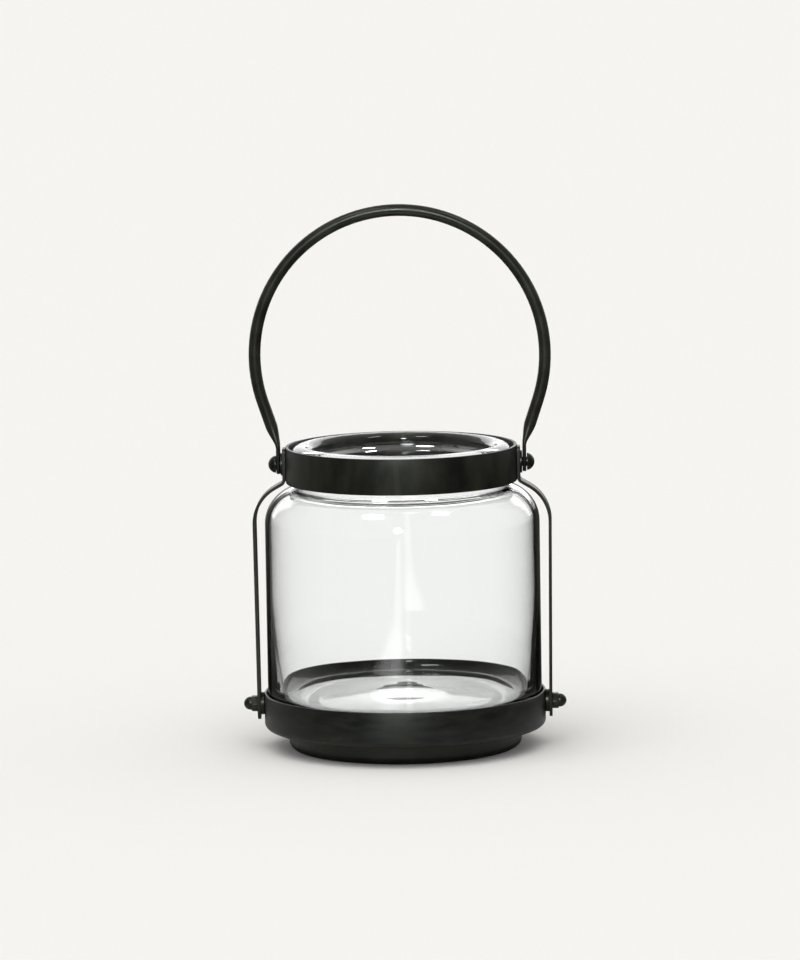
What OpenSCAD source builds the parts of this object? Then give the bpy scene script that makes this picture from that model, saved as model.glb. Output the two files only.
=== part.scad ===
// Hurricane candle lantern: a clear glass jar held in a black iron frame with a swinging bail.
// Sizes are in millimetres. +Z is up, X runs through the two bail pivots, and z = 0 is the
// surface that the foot stands on. The lantern is the same on its left and its right, so each
// side piece is drawn once at +X and mirrored.

/* [Glass jar] */
// Outer radius of the jar's straight body
jar_body_r = 73; // [69:0.5:82]
// Height of the jar, from its base to the top of its lip
jar_h = 150; // [120:1:190]
// Thickness of the blown wall
jar_wall = 3; // [2:0.25:4]
// Thickness of the jar's heavy bottom
jar_floor = 13; // [8:0.5:16]
// How much thicker the wall gets down to the bottom
jar_swell = 4; // [1:0.5:6]
// Height above the bottom at which the wall starts to get thicker
swell_h = 60; // [40:1:75]
// Radius of the corner between wall and bottom, inside the jar
heel_in_r = 7; // [4:0.5:12]
// Radius of the low dome in the middle of the bottom, inside the jar
floor_dome_r = 19; // [12:1:30]
// Height of that dome
floor_dome_h = 1; // [0.5:0.1:2]
// Outer radius of the round heel between body and base
heel_r = 20; // [12:1:28]
// Width of the flat ring that the jar stands on
base_land = 6; // [3:0.5:10]
// How far the middle of the base is pushed up
jar_kick = 2; // [1:0.25:5]
// Outer radius of the neck
neck_r = 53; // [48:0.5:55]
// Height of the neck's straight part
neck_h = 7.7; // [3:0.1:14]
// Radius of the hollow fillet where the shoulder turns up into the neck
neck_fillet = 3; // [1.5:0.25:5]
// How much nearer the axis the neck is than the middle of the shoulder's round
neck_ease = 0.5; // [0.2:0.1:1]
// How far the rolled lip stands out past the neck's outside
lip_out = 5.3; // [3:0.1:8]
// How far the lip's roll stands in past the neck's inside
lip_in = 2.8; // [1:0.1:5]
// Height of the lip's rounded top, above its widest point
lip_crown = 3.6; // [2.5:0.1:6]
// Height over which the neck thickens into the lip
lip_flare = 8; // [5:0.5:12]

/* [Collar] */
// Thickness of the collar's flat iron
band_t = 1.6; // [1:0.1:2.5]
// Height of the collar
band_h = 19; // [16:0.5:26]
// Room between the lip and the inside of the collar
band_clear = 1.6; // [0.8:0.1:3]
// How far the lip stands above the collar
lip_stand = 0.7; // [0:0.1:3]

/* [Tray and foot] */
// Thickness of the spun tray
tray_t = 1.2; // [0.8:0.1:2]
// Height of the tray
tray_h = 19; // [16:0.5:30]
// Outer radius of the round between the tray's wall and floor
tray_corner = 3; // [2.2:0.1:6]
// Room between the jar and the tray's wall
tray_clear = 0.8; // [0.4:0.1:2]
// Height of the foot
foot_h = 11; // [7:0.5:20]
// Thickness of the pressed foot
foot_t = 1.2; // [0.8:0.1:2]
// How far the foot is set in from the tray's outer wall
foot_inset = 13; // [8:0.5:20]
// Outer radius of the round at the bottom of the foot
foot_corner = 4; // [2.5:0.25:6]
// Width of the foot's flat flange, inwards from that round
foot_flange = 8; // [4:0.5:14]

/* [Straps] */
// Width of the strap
strap_w = 12; // [10:0.5:18]
// Thickness of the strap
strap_t = 1.6; // [1:0.1:2.5]
// Angle from vertical at which the strap leaves the collar
strap_kick = 60; // [50:1:70]
// Centreline radius of the sharp bend under the collar
strap_bend_r = 2.5; // [1.6:0.1:4]
// How far above the collar's lower edge that bend starts
strap_bend_up = 1.5; // [0:0.1:3]
// Length of the straight slope between the two bends
strap_slope = 4.7; // [2:0.1:6]
// How much farther out the strap is at the shoulder than at the tray
strap_lean = 0.8; // [0:0.1:2]
// How far the strap's upper end stops below the collar's upper edge
strap_top_drop = 1; // [0.5:0.1:2.5]
// Corner radius of the strap's upper end
strap_top_round = 2; // [0.5:0.1:4]
// How far the strap's lower end reaches below its screw
strap_tail = 8.6; // [7:0.1:9]

/* [Bail] */
// Diameter of the bail's tube
tube_d = 6.4; // [5:0.1:8]
// How far the bow's centreline stands outside the pressed ends
bail_flare = 11.6; // [10:0.1:20]
// Angle from vertical at which the legs run in to the pivots
bail_lean = 18.5; // [15:0.5:20]
// Thickness of the pressed flat ends
press_t = 2; // [1.6:0.1:3]
// Centreline radius of the bend where the leg turns down into the flat end
press_bend_r = 13.5; // [8:0.5:18]
// Height of that bend's lower end above the pivot
press_up = 8.2; // [7:0.1:12]
// Length of leg over which the tube goes from round to flat, above the bend
press_run = 9; // [6:0.5:10]
// How far the flat end reaches below the pivot
tab_tail = 5.3; // [4.8:0.1:6]

/* [Pivot rivets] */
// Diameter of the rivet's shank
rivet_d = 5; // [4:0.1:5.6]
// Diameter of the rivet's domed head
rivet_head_d = 9.1; // [8:0.1:11]
// Height of the whole head
rivet_head_h = 4; // [3:0.1:4.5]
// Height of the head's straight edge
rivet_edge = 0.5; // [0.3:0.1:1]
// Diameter of the hammered tail inside the collar
rivet_tail_d = 7.5; // [6.6:0.1:8]
// Height of that tail
rivet_tail_h = 1.2; // [0.8:0.1:1.3]
// Diameter of the washer between strap and bail
pivot_washer_d = 12; // [10:0.5:14]
// Thickness of that washer
pivot_washer_t = 1; // [0.6:0.1:2]
// Radial clearance of the rivet in the bail's pivot hole
pivot_fit = 0.06; // [0.02:0.01:0.09]
// Side play of the bail's flat end, on each face
pivot_play = 0.3; // [0.2:0.05:0.6]
// Radial clearance of the rivet in the pieces that it clamps
rivet_fit = 0.05; // [0.02:0.01:0.2]

/* [Tray screws] */
// Thread diameter of the tray screw
screw_d = 5; // [4:0.1:5]
// Diameter of the low screw head inside the tray
screw_head_d = 8.8; // [7.6:0.1:9.4]
// Height of that head
screw_head_h = 1.4; // [1:0.1:1.5]
// Width of the head's slot
slot_w = 1; // [0.6:0.1:1.4]
// Depth of that slot
slot_depth = 0.6; // [0.4:0.1:0.8]
// How far the screw is below the tray's rim
screw_drop = 6.5; // [6:0.1:7.5]
// How far the screw reaches past the strap, inside the nut
screw_reach = 4.8; // [3.5:0.1:5]
// Radial clearance of the screw in the holes it passes
screw_fit = 0.25; // [0.1:0.05:0.4]
// Diameter of the thick washer between tray and strap
spacer_d = 12; // [10:0.5:14]
// Thickness of that washer
spacer_t = 2; // [1:0.1:4]

/* [Cap nuts] */
// Width of the nut across its flats
nut_flats = 8; // [7.6:0.1:10]
// Length of the hexagon
nut_hex_h = 3.3; // [2.5:0.1:4]
// Length of the whole nut
nut_h = 7.5; // [7:0.1:9]
// Diameter of the dome
nut_dome_d = 7.1; // [6.8:0.1:7.4]
// Depth of the nut's blind hole
nut_hole_depth = 5.4; // [5.1:0.1:5.8]
// Radial room between the screw's thread and the nut's
thread_fit = 0.05; // [0.02:0.01:0.1]

/* [Hidden] */
$fn = 96;

// How far a cutting tool runs past the face that it cuts
cut_past = 1;
// Largest turn between two points on a round outline, in degrees
arc_step = 6;

// Heights
jar_z = foot_h + tray_t;
jar_top = jar_z + jar_h;
band_top = jar_top - lip_stand;
band_bottom = band_top - band_h;
pivot_z = band_top - band_h / 2;
tray_top = foot_h + tray_h;
screw_z = tray_top - screw_drop;

// Radii, from the glass outwards
lip_r = neck_r + lip_out;
band_in_r = lip_r + band_clear;
band_r = band_in_r + band_t;
tray_in_r = jar_body_r + tray_clear;
tray_r = tray_in_r + tray_t;
foot_r = tray_r - foot_inset;

// The stack on each pivot, from the collar outwards
strap_face_x = band_r + strap_t;
pivot_washer_x = strap_face_x;
tab_x = pivot_washer_x + pivot_washer_t + pivot_play + press_t / 2;
rivet_head_x = tab_x + press_t / 2 + pivot_play;

// The stack on each tray screw, from the tray outwards
strap_foot_x = tray_r + spacer_t;
nut_x = strap_foot_x + strap_t;

iron = [0.13, 0.13, 0.12];
dark_iron = [0.09, 0.09, 0.085];
clear_glass = [0.86, 0.93, 0.92, 0.4];

// Points along an arc, from angle a0 to a1, without its first point
function arc(c, r, a0, a1) =
    let (n = max(2, ceil(abs(a1 - a0) / arc_step)))
    [for (i = [1 : n]) let (a = a0 + (a1 - a0) * i / n) c + r * [cos(a), sin(a)]];

// Smooth step from 0 to 1, level at both ends
function ease(t) = t * t * (3 - 2 * t);

// Radius of the sphere whose cap has base radius a and height h
function cap_radius(a, h) = (a * a + h * h) / (2 * h);

// ---- Glass jar ----

// Steps in the lip's flare, in its crown, in a low dome and in the wall that gets thicker
flare_steps = 8;
crown_steps = 14;
kick_steps = 6;
swell_steps = 8;

shoulder_r = jar_body_r - neck_r - neck_ease;
neck_in_r = neck_r - jar_wall;
mouth_r = neck_in_r - lip_in;
fillet_rise = sqrt(pow(shoulder_r + neck_fillet, 2) - pow(neck_fillet - neck_ease, 2));
shoulder_turn = atan2(fillet_rise, neck_fillet - neck_ease);
lip_z = jar_h - lip_crown;
fillet_c = [neck_r + neck_fillet, lip_z - lip_flare - neck_h];
shoulder_c = [neck_r + neck_ease, fillet_c[1] - fillet_rise];
heel_c = [jar_body_r - heel_r, heel_r];
kick_r = heel_c[0] - base_land;

// Radius of the wall's inside at height z above the base
function wall_in_r(z) =
    jar_body_r - jar_wall - jar_swell * pow(max(0, (jar_floor + swell_h - z) / swell_h), 2);

// The inner corner turns from the bottom until it runs along the leaning wall
heel_in_turn = 90 - atan(2 * jar_swell * (swell_h - heel_in_r) / pow(swell_h, 2));
heel_in_top = jar_floor + heel_in_r * (1 - cos(heel_in_turn));
heel_in_c = [wall_in_r(heel_in_top) - heel_in_r * sin(heel_in_turn), jar_floor + heel_in_r];

// Low dome of height h, from the axis out to radius r, standing on height z
function kick(r, h, z) =
    let (ball = cap_radius(r, h), c = [0, z + h - ball], turn = asin(r / ball))
    [for (i = [0 : kick_steps]) let (a = 90 - turn * i / kick_steps) c + ball * [cos(a), sin(a)]];

// One side of the flare, from radius a at the neck to radius b at the lip's widest point
function flare(a, b) =
    [for (i = [1 : flare_steps]) let (t = i / flare_steps)
        [a + (b - a) * ease(t), lip_z - lip_flare * (1 - t)]];

// The lip's rounded top, from its outside over to the mouth
function crown() =
    let (c = (lip_r + mouth_r) / 2, a = (lip_r - mouth_r) / 2)
    [for (i = [1 : crown_steps]) let (t = 180 * i / crown_steps)
        [c + a * cos(t), lip_z + lip_crown * sin(t)]];

function backwards(points) = [for (i = [len(points) - 1 : -1 : 0]) points[i]];

jar_outside = concat(
    kick(kick_r, jar_kick, 0),
    [[heel_c[0], 0]],
    arc(heel_c, heel_r, -90, 0),
    [[jar_body_r, shoulder_c[1]]],
    arc(shoulder_c, shoulder_r, 0, shoulder_turn),
    arc(fillet_c, neck_fillet, 180 + shoulder_turn, 180),
    [[neck_r, lip_z - lip_flare]],
    flare(neck_r, lip_r)
);

// From the bottom's middle up to just below the mouth's narrowest point
jar_inside = concat(
    kick(floor_dome_r, floor_dome_h, jar_floor),
    [[heel_in_c[0], jar_floor]],
    arc(heel_in_c, heel_in_r, -90, heel_in_turn - 90),
    [for (i = [1 : swell_steps])
        let (z = heel_in_top + (jar_floor + swell_h - heel_in_top) * i / swell_steps)
        [wall_in_r(z), z]],
    [[jar_body_r - jar_wall, shoulder_c[1]]],
    arc(shoulder_c, shoulder_r - jar_wall, 0, shoulder_turn),
    arc(fillet_c, neck_fillet + jar_wall, 180 + shoulder_turn, 180),
    [[neck_in_r, lip_z - lip_flare]],
    [for (p = flare(neck_in_r, mouth_r)) if (p[1] < lip_z - 0.01) p]
);

// Blown jar: one wall turned about the axis, thick at the lip and the bottom
module glass_jar() {
    color(clear_glass)
        translate([0, 0, jar_z])
            rotate_extrude()
                polygon(concat(jar_outside, crown(), backwards(jar_inside)));
}

// ---- Iron frame ----

// Cylinder along +X that starts at x, height z above the ground
module x_rod(x, z, r, length) {
    translate([x, 0, z])
        rotate([0, 90, 0])
            cylinder(r = r, h = length);
}

// Flat hoop round the neck
module collar_band() {
    color(iron)
        difference() {
            translate([0, 0, band_bottom]) cylinder(r = band_r, h = band_h);
            translate([0, 0, band_bottom - cut_past])
                cylinder(r = band_in_r, h = band_h + 2 * cut_past);
            x_rod(-band_r - cut_past, pivot_z, rivet_d / 2 + rivet_fit, 2 * (band_r + cut_past));
        }
}

// Half section of a round pan with outer radius r, height h, wall t and a rounded lower corner
module pan_section(r, h, t, corner) {
    difference() {
        solid_section(r, h, corner);
        translate([0, t]) solid_section(r - t, h, corner - t);
    }
}

module solid_section(r, h, corner) {
    square([r - corner, h]);
    translate([0, corner]) square([r, h - corner]);
    translate([r - corner, corner]) circle(r = corner);
}

// Spun pan that holds the jar's heel
module base_tray() {
    color(iron)
        difference() {
            translate([0, 0, foot_h])
                rotate_extrude()
                    intersection() {
                        pan_section(tray_r, tray_h, tray_t, tray_corner);
                        square([tray_r, tray_h]);
                    }
            x_rod(-tray_r - cut_past, screw_z, screw_d / 2 + screw_fit, 2 * (tray_r + cut_past));
        }
}

// Pressed ring with a flange turned in at the bottom, which the lantern stands on
module foot_ring() {
    flange_in_r = foot_r - foot_corner - foot_flange;
    color(iron)
        rotate_extrude()
            intersection() {
                pan_section(foot_r, foot_h, foot_t, foot_corner);
                translate([flange_in_r, 0]) square([foot_r - flange_in_r, foot_h]);
            }
}

// ---- Straps ----

strap_top_x = band_r + strap_t / 2;
strap_low_x = strap_foot_x + strap_t / 2;
strap_wide_x = strap_low_x + strap_lean;
strap_reach = strap_wide_x - strap_top_x;
// The large bend takes up whatever reach the sharp bend and the slope leave
strap_round_r = (strap_reach - strap_slope * sin(strap_kick)) / (1 - cos(strap_kick)) - strap_bend_r;
bend_top_z = band_bottom + strap_bend_up;
slope_top = [strap_top_x + strap_bend_r * (1 - cos(strap_kick)),
             bend_top_z - strap_bend_r * sin(strap_kick)];
slope_low = slope_top + strap_slope * [sin(strap_kick), -cos(strap_kick)];
round_c = slope_low - strap_round_r * [cos(strap_kick), sin(strap_kick)];
strap_end_z = screw_z - strap_tail;
strap_top_z = band_top - strap_top_drop;

// One face of the strap, side by side with its centreline: side is +1 outside and -1 inside
function strap_face(side) =
    let (off = side * strap_t / 2)
    concat(
        [[strap_top_x + off, band_top]],
        [[strap_top_x + off, bend_top_z]],
        arc([strap_top_x + strap_bend_r, bend_top_z], strap_bend_r - off, 180, 180 + strap_kick),
        [slope_low + off * [cos(strap_kick), sin(strap_kick)]],
        arc(round_c, strap_round_r + off, strap_kick, 0),
        [[strap_low_x + off, screw_z + spacer_d / 2]],
        [[strap_low_x + off, 0]]
    );

// Front outline of the strap: small rounds at the top, a full round at the bottom
module strap_outline() {
    half = strap_w / 2;
    translate([-half, strap_end_z + half])
        square([strap_w, strap_top_z - strap_top_round - strap_end_z - half]);
    translate([-half + strap_top_round, strap_end_z + half])
        square([strap_w - 2 * strap_top_round, strap_top_z - strap_end_z - half]);
    for (side = [-1, 1])
        translate([side * (half - strap_top_round), strap_top_z - strap_top_round])
            circle(r = strap_top_round);
    translate([0, strap_end_z + half]) circle(r = half);
}

// Flat strap, bent out round the jar's shoulder and down to the tray
module strap() {
    color(iron)
        difference() {
            intersection() {
                rotate([90, 0, 0])
                    linear_extrude(height = strap_w + 2 * cut_past, center = true)
                        polygon(concat(strap_face(1), backwards(strap_face(-1))));
                rotate([90, 0, 90])
                    linear_extrude(height = strap_wide_x + strap_t)
                        strap_outline();
            }
            x_rod(0, pivot_z, rivet_d / 2 + rivet_fit, strap_wide_x);
            x_rod(0, screw_z, screw_d / 2 + screw_fit, nut_x + cut_past);
        }
}

module left_strap() { mirror([1, 0, 0]) strap(); }
module right_strap() { strap(); }

// ---- Bail ----

tube_r = tube_d / 2;
bow_r = tab_x + bail_flare;
// Length of the straight leg between the bow and the bend above the flat end
leg_length = (bow_r * cos(bail_lean) - tab_x - press_bend_r * (1 - cos(bail_lean))) / sin(bail_lean);
leg_low = [tab_x + press_bend_r * (1 - cos(bail_lean)),
           pivot_z + press_up + press_bend_r * sin(bail_lean)];
leg_top = leg_low + leg_length * [sin(bail_lean), cos(bail_lean)];
bow_z = leg_top[1] + bow_r * sin(bail_lean);
// A pressed tube keeps its girth, so its flat end is this wide on each side of the middle
tab_half_w = press_t / 2 + PI * (tube_r - press_t / 2) / 2;
tab_tip_z = pivot_z - tab_tail + tab_half_w;
bend_length = press_bend_r * bail_lean * PI / 180;
press_length = press_run + bend_length;

// Points round the tube, and rings along its pressed stretch and round the tip of its flat end
tube_sides = 24;
press_rings = 12;
tip_rings = 5;

// A station is a ring's place along the tube: [x, z, lean from vertical, half thickness,
// half width of its flats]. A round tube has no flats.

// Round tip of the flat end, from its lowest point up to full width
function tip_stations() =
    let (half_t = press_t / 2, start = asin(half_t / tab_half_w))
    [for (i = [0 : tip_rings]) let (a = start + (90 - start) * i / tip_rings)
        [tab_x, tab_tip_z - tab_half_w * cos(a), 0, half_t, tab_half_w * sin(a) - half_t]];

// The stretch that goes from flat to round: up the bend above the flat end, then up the leg
function press_station(s) =
    let (
        turn = bail_lean * min(1, s / bend_length),
        up_leg = max(0, s - bend_length),
        half_t = tube_r - (tube_r - press_t / 2) * ease(1 - s / press_length)
    )
    [tab_x + press_bend_r * (1 - cos(turn)) + up_leg * sin(bail_lean),
     pivot_z + press_up + press_bend_r * sin(turn) + up_leg * cos(bail_lean),
     turn, half_t, PI * (tube_r - half_t) / 2];

// Half of the bow, from the leg's top to the crown
function bow_stations() =
    let (turn = 90 + bail_lean, n = ceil(turn / arc_step))
    [for (i = [0 : n]) let (a = turn * i / n - bail_lean)
        [bow_r * cos(a), bow_z + bow_r * sin(a), -a, tube_r, 0]];

right_half = concat(
    tip_stations(),
    [for (i = [0 : press_rings]) press_station(press_length * i / press_rings)],
    bow_stations()
);
left_half = [for (i = [len(right_half) - 2 : -1 : 0]) let (s = right_half[i])
    [-s[0], s[1], 180 - s[2], s[3], s[4]]];

// One ring: a circle, or a circle pressed flat, square to the tube
function ring(station) =
    [for (i = [0 : tube_sides - 1])
        let (a = 360 * (i + 0.5) / tube_sides,
             out = station[3] * sin(a),
             along_y = station[3] * cos(a) + (cos(a) > 0 ? station[4] : -station[4]))
        [station[0] + out * cos(station[2]), along_y, station[1] - out * sin(station[2])]];

// Closed skin over a row of rings
module skin(stations) {
    n = tube_sides;
    last = len(stations) - 1;
    walls = [for (k = [0 : last - 1], i = [0 : n - 1])
        let (j = (i + 1) % n) each [
            [k * n + i, k * n + j, (k + 1) * n + j],
            [k * n + i, (k + 1) * n + j, (k + 1) * n + i]
        ]];
    polyhedron(
        [for (station = stations) each ring(station)],
        concat([[for (i = [n - 1 : -1 : 0]) i]], walls, [[for (i = [0 : n - 1]) last * n + i]])
    );
}

// Bent tube with both ends pressed flat, rounded at the tips and bored for the rivets
module bail_handle() {
    color(iron)
        difference() {
            skin(concat(right_half, left_half));
            x_rod(-rivet_head_x, pivot_z, rivet_d / 2 + pivot_fit, 2 * rivet_head_x);
        }
}

// ---- Pivots ----

// Half outline of a low dome on a straight edge, from its rim to its top: face is where the edge
// starts along the axis, and way is +1 for a dome that points away from the origin
function dome_points(face, r, height, edge, way) =
    let (ball = cap_radius(r, height - edge), turn = asin(r / ball),
         c = [0, face + way * (height - ball)],
         n = ceil(turn / arc_step))
    concat(
        [[r, face], [r, face + way * edge]],
        [for (i = [1 : n - 1]) let (a = turn * (1 - i / n))
            c + ball * [sin(a), way * cos(a)]],
        [[0, face + way * height]]
    );

// Turns a half outline, given as [radius, distance along X], about the X axis at height z
module turned(points, z) {
    translate([0, 0, z])
        rotate([0, 90, 0])
            rotate_extrude()
                polygon(points);
}

// Domed rivet: head outside, shank through bail, washer, strap and collar, hammered tail inside
module pivot_rivet() {
    shank_r = rivet_d / 2;
    tail_r = rivet_tail_d / 2;
    tail_x = sqrt(pow(band_in_r, 2) - pow(tail_r, 2));
    tail_edge = rivet_tail_h / 3;
    color(dark_iron)
        turned(concat(
            backwards(dome_points(tail_x, tail_r, rivet_tail_h, tail_edge, -1)),
            [[shank_r, tail_x], [shank_r, rivet_head_x]],
            dome_points(rivet_head_x, rivet_head_d / 2, rivet_head_h, rivet_edge, 1)
        ), pivot_z);
}

// Flat round washer along X
module washer(x, z, d, t, hole_r) {
    difference() {
        x_rod(x, z, d / 2, t);
        x_rod(x - cut_past, z, hole_r, t + 2 * cut_past);
    }
}

module bail_washer() {
    color(dark_iron)
        washer(pivot_washer_x, pivot_z, pivot_washer_d, pivot_washer_t, rivet_d / 2 + rivet_fit);
}

module left_pivot_rivet() { mirror([1, 0, 0]) pivot_rivet(); }
module right_pivot_rivet() { pivot_rivet(); }
module left_bail_washer() { mirror([1, 0, 0]) bail_washer(); }
module right_bail_washer() { bail_washer(); }

// ---- Tray screws, spacers and nuts ----

// Low slotted screw, its head against the inside of the tray's wall
module tray_screw() {
    head_r = screw_head_d / 2;
    head_x = sqrt(pow(tray_in_r, 2) - pow(head_r, 2));
    tip_x = nut_x + screw_reach;
    tip_chamfer = screw_d / 8;
    color(dark_iron)
        difference() {
            turned(concat(
                backwards(dome_points(head_x, head_r, screw_head_h, screw_head_h / 3, -1)),
                [[screw_d / 2, head_x], [screw_d / 2, tip_x - tip_chamfer],
                 [screw_d / 2 - tip_chamfer, tip_x], [0, tip_x]]
            ), screw_z);
            translate([head_x - screw_head_h - cut_past, -screw_head_d, screw_z - slot_w / 2])
                cube([slot_depth + cut_past, 2 * screw_head_d, slot_w]);
        }
}

module tray_spacer() {
    color(dark_iron)
        washer(tray_r, screw_z, spacer_d, spacer_t, screw_d / 2 + screw_fit);
}

// Acorn nut: a chamfered hexagon under a round dome, with a blind hole for the screw
module cap_nut() {
    flat_r = nut_flats / 2;
    corner_r = flat_r / cos(30);
    chamfer = (corner_r - flat_r) / 2;
    hex_end = nut_x + nut_hex_h;
    dome_r = nut_dome_d / 2;
    color(dark_iron)
        difference() {
            union() {
                intersection() {
                    translate([nut_x, 0, screw_z])
                        rotate([0, 90, 0])
                            cylinder(r = corner_r, h = nut_hex_h, $fn = 6);
                    turned([[0, nut_x], [flat_r, nut_x], [corner_r, nut_x + chamfer],
                            [corner_r, hex_end - chamfer], [flat_r, hex_end], [0, hex_end]],
                           screw_z);
                }
                turned(concat([[0, nut_x + nut_hex_h / 2], [dome_r, nut_x + nut_hex_h / 2]],
                              arc([0, nut_x + nut_h - dome_r], dome_r, 0, 90)),
                       screw_z);
            }
            x_rod(nut_x - cut_past, screw_z, screw_d / 2 + thread_fit, nut_hole_depth + cut_past);
        }
}

module left_tray_screw() { mirror([1, 0, 0]) tray_screw(); }
module right_tray_screw() { tray_screw(); }
module left_tray_spacer() { mirror([1, 0, 0]) tray_spacer(); }
module right_tray_spacer() { tray_spacer(); }
module left_cap_nut() { mirror([1, 0, 0]) cap_nut(); }
module right_cap_nut() { cap_nut(); }

glass_jar();
collar_band();
left_strap();
right_strap();
base_tray();
foot_ring();
bail_handle();
left_pivot_rivet();
right_pivot_rivet();
left_bail_washer();
right_bail_washer();
left_tray_screw();
right_tray_screw();
left_tray_spacer();
right_tray_spacer();
left_cap_nut();
right_cap_nut();
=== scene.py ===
# %% [markdown]
# # A hurricane candle lantern
# The lantern is a blown glass jar that stands in a spun iron tray. A flat iron collar holds its
# neck, two bent straps tie collar and tray together, and a tubular bail swings on two rivets.
# The frame below is the measured model. Every new piece is built in its place, in metres, with
# +Z up and X through the two pivots, so nothing has to be fitted afterwards.

# %% Load the frame
import math

import bpy
from mathutils import Matrix, Vector


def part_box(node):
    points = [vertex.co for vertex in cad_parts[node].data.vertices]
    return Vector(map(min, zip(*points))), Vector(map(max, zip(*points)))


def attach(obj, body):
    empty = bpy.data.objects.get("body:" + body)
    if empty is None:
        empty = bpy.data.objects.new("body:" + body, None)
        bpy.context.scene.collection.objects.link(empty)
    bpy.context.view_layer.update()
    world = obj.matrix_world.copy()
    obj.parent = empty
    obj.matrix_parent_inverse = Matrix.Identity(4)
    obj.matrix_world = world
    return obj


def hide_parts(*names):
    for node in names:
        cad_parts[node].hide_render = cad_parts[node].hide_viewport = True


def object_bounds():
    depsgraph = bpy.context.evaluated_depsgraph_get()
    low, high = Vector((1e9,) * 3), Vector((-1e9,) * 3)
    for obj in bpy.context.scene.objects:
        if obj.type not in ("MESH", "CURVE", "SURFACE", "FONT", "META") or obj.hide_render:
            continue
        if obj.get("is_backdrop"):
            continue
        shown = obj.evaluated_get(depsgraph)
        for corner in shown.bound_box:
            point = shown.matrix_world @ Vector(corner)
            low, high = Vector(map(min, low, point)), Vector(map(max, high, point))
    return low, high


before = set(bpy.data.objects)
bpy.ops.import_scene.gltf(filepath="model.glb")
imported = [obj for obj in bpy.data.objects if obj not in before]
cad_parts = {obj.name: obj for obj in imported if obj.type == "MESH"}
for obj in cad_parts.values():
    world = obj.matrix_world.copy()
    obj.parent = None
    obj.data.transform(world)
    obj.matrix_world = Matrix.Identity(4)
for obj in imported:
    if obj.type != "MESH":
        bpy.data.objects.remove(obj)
cad_low, cad_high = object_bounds()
print("measured model:", [round(v, 4) for v in (*cad_low, *cad_high)])

# %% [markdown]
# ## Sizes
# The outer sizes are read from the measured model, so the new pieces can't drift away from it.
# Only what a box can't tell, such as a wall or a fillet, is written here as a number.

# %% Read the sizes from the frame
MM = 0.001

jar_low, jar_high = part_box("glass_jar")
band_low, band_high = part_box("collar_band")
tray_low, tray_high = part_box("base_tray")
foot_low, foot_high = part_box("foot_ring")
strap_low, strap_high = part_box("right_strap")
bail_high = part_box("bail_handle")[1]
rivet_low, rivet_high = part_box("right_pivot_rivet")
washer_low, washer_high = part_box("right_bail_washer")
spacer_low, spacer_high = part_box("right_tray_spacer")
nut_low, nut_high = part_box("right_cap_nut")

jar_r = jar_high.x
band_r = band_high.x
tray_r = tray_high.x
foot_r = foot_high.x
pivot_z = (rivet_low.z + rivet_high.z) / 2
screw_z = (nut_low.z + nut_high.z) / 2
print("jar radius", round(jar_r / MM, 2), "mm, pivots at", round(pivot_z / MM, 2), "mm")

# %% [markdown]
# ## Small helpers
# A turned piece starts as a plane merged to one point. The point is extruded along the outline,
# and the outline is spun about an axis. That is how a lathe hand thinks: draw half the section,
# then turn it.

# %% Helpers for outlines
def arc(centre, radius, start, end, steps):
    """Points on an arc in the outline's own two directions, without the first one."""
    points = []
    for i in range(1, steps + 1):
        a = math.radians(start + (end - start) * i / steps)
        points.append((centre[0] + radius * math.cos(a), centre[1] + radius * math.sin(a)))
    return points


def smooth_step(t):
    """0 to 1, level at both ends."""
    return t * t * (3 - 2 * t)


def rounded(points, radius, steps=3):
    """A closed outline with each corner rounded by the same small radius."""
    result = []
    count = len(points)
    for i, corner in enumerate(points):
        here = Vector(corner)
        before = (Vector(points[i - 1]) - here).normalized()
        after = (Vector(points[(i + 1) % count]) - here).normalized()
        for k in range(steps + 1):
            t = k / steps
            a = here + before * radius
            b = here + after * radius
            result.append(tuple(a * (1 - t) ** 2 + here * 2 * t * (1 - t) + b * t ** 2))
    return result


# %% Helpers for editing
weld_gap = 0.002 * MM


def deselect_all():
    """Nothing selected, so that an operator touches only what comes next."""
    if bpy.context.object and bpy.context.object.mode != "OBJECT":
        bpy.ops.object.mode_set(mode="OBJECT")
    bpy.ops.object.select_all(action="DESELECT")


def pick(piece):
    """Makes a piece the only one that an operator touches."""
    deselect_all()
    piece.select_set(True)
    bpy.context.view_layer.objects.active = piece


def clean_skin():
    """Merges doubles and turns the faces outwards, then leaves edit mode."""
    bpy.ops.mesh.select_all(action="SELECT")
    bpy.ops.mesh.remove_doubles(threshold=weld_gap)
    bpy.ops.mesh.normals_make_consistent(inside=False)
    bpy.ops.object.mode_set(mode="OBJECT")


def turn(name, outline, steps, axis="Z", height=0.0, closed=False):
    """Spins (radius, distance along the axis) points about Z, or about X at a height."""
    def place(point):
        if axis == "Z":
            return Vector((point[0], 0, point[1]))
        return Vector((point[1], 0, height + point[0]))

    points = list(outline) + ([outline[0]] if closed else [])
    deselect_all()
    bpy.ops.mesh.primitive_plane_add(size=MM, location=place(points[0]))
    piece = bpy.context.object
    piece.name = name
    bpy.ops.object.mode_set(mode="EDIT")
    bpy.ops.mesh.select_all(action="SELECT")
    bpy.ops.mesh.merge(type="CENTER")
    for before, after in zip(points, points[1:]):
        step = place(after) - place(before)
        bpy.ops.mesh.extrude_vertices_move(TRANSFORM_OT_translate={"value": step})
    bpy.ops.mesh.select_all(action="SELECT")
    direction = (0, 0, 1) if axis == "Z" else (1, 0, 0)
    bpy.ops.mesh.spin(steps=steps, angle=math.tau, center=(0, 0, height), axis=direction)
    clean_skin()
    bpy.ops.object.transform_apply(location=True, rotation=True, scale=True)
    return piece


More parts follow.
